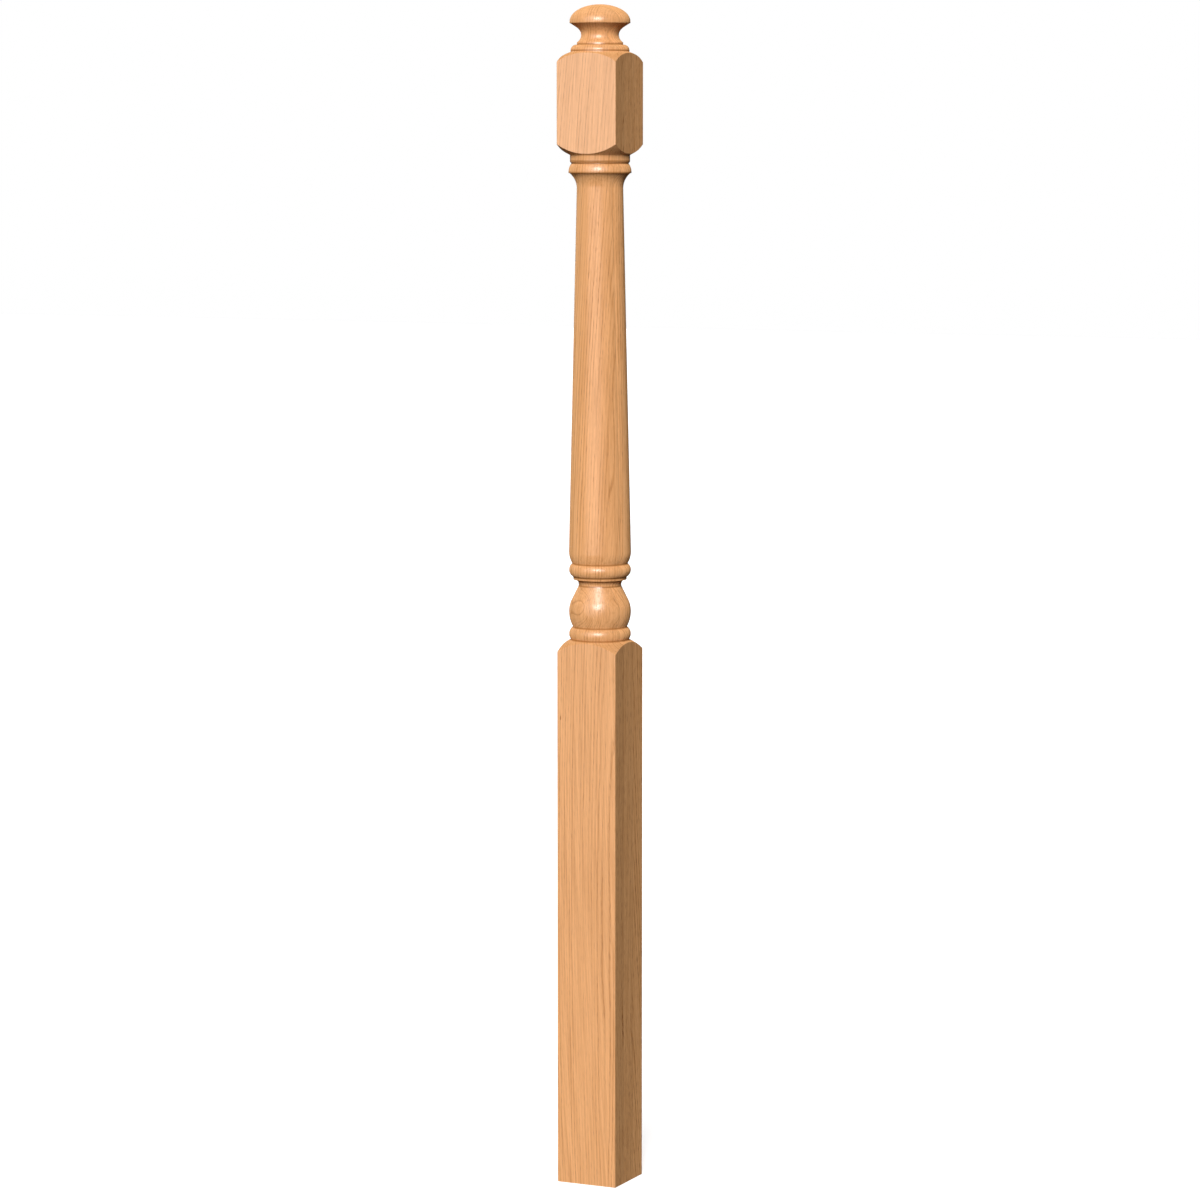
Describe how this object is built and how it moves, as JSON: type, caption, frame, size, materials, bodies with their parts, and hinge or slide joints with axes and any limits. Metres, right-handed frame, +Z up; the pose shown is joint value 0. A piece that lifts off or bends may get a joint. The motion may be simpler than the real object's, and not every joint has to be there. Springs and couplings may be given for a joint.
{
  "type": "newel post",
  "caption": "Turned oak newel post: square foot block, vase and beads, tapered round column, square rail block and mushroom cap.",
  "frame": {"origin": "middle of the square underside, at floor level", "axes": "+Z up along the post's own axis, X and Y square to the flat faces of its two blocks; -Y is the wide face seen in the picture"},
  "size_m": [0.0762, 0.0762, 1.3968],
  "materials": {
    "oak": "red oak with open pores under a clear satin lacquer"
  },
  "bodies": {
    "root": {"newel_post": "oak"}
  },
  "joints": []
}
